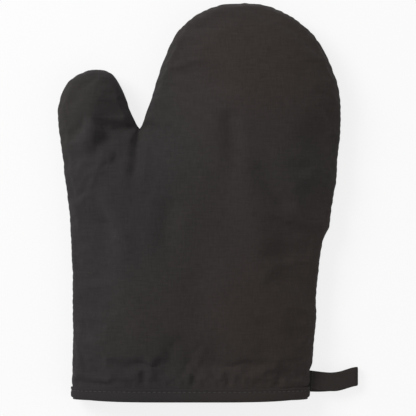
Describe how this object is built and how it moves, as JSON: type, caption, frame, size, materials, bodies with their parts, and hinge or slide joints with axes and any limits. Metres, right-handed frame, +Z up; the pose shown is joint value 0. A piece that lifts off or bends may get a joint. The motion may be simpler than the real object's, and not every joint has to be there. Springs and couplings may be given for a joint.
{
  "type": "oven mitt",
  "caption": "Quilted oven mitt with a thumb, lined and padded on both faces, with a bound cuff and a tape hanging loop at the side seam.",
  "frame": {"origin": "middle of the mitt's box in plan, on the surface that its back face lies on", "axes": "+X across the cuff, from the thumb's side to the loop's side; +Y from the cuff to the fingertips; +Z up, out of the front face"},
  "size_m": [0.2089, 0.275, 0.037],
  "materials": {
    "outer_cloth": "matt charcoal polycotton, plain weave",
    "wadding": "white needled polyester wadding",
    "lining": "matt black woven lining",
    "binding": "matt charcoal polycotton bias strip",
    "thread": "black spun polyester thread",
    "tape": "black woven cotton tape"
  },
  "bodies": {
    "hand": {"outer_front": "outer_cloth", "outer_back": "outer_cloth", "wadding_front": "wadding", "wadding_back": "wadding", "lining_front": "lining", "lining_back": "lining", "seam_allowance": "lining", "seam_stitching": "thread", "cuff_binding": "binding", "binding_stitching": "thread", "loop_stitching": "thread"},
    "thumb": {"outer_front_thumb": "outer_cloth", "outer_back_thumb": "outer_cloth", "wadding_front_thumb": "wadding", "wadding_back_thumb": "wadding", "lining_front_thumb": "lining", "lining_back_thumb": "lining", "seam_allowance_thumb": "lining", "seam_stitching_thumb": "thread"},
    "loop": {"hanging_loop": "tape"}
  },
  "joints": [
    {"name": "thumb_fold", "type": "hinge", "parent": "hand", "child": "thumb", "pos_m": [-0.07183, 0.0215, 0.0335], "axis": [0.6497, 0.7602, 0], "range_deg": [0, 45], "stiffness_Nm_per_rad": 0.01},
    {"name": "loop_swing", "type": "hinge", "parent": "hand", "child": "loop", "pos_m": [0.07359, -0.124, 0.0085], "axis": [0, -1, 0], "range_deg": [-80, 100]}
  ]
}
